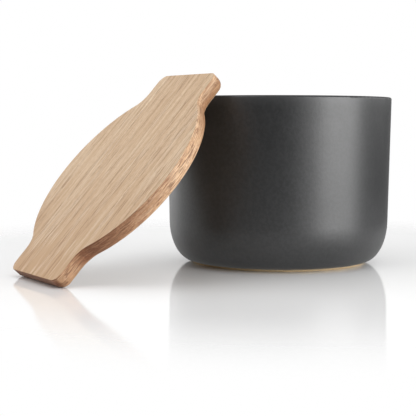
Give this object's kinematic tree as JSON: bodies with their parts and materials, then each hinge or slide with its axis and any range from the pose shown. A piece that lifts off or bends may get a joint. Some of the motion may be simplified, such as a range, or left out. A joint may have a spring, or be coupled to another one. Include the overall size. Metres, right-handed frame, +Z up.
{
  "type": "salt pot with loose lid",
  "caption": "Round matte black stoneware salt pot with a loose eared oak lid that leans on its rim and lifts away.",
  "frame": {"origin": "centre of the pot's foot, on the table that the pot and the lid's lower ear stand on", "axes": "+Z up along the pot's axis; the lid leans on the rim from the -X side, and its length lies in an XZ plane"},
  "size_m": [0.19, 0.1107, 0.0907],
  "materials": {
    "glazed_stoneware": "satin",
    "oiled_oak": "oiled"
  },
  "bodies": {
    "pot": {"stoneware_pot": "glazed_stoneware"},
    "lid": {"oak_lid": "oiled_oak"}
  },
  "joints": [
    {"name": "lid_lift", "type": "slide", "parent": "pot", "child": "lid", "axis": [0, 0, 1], "range_m": [0, 0.1]}
  ]
}
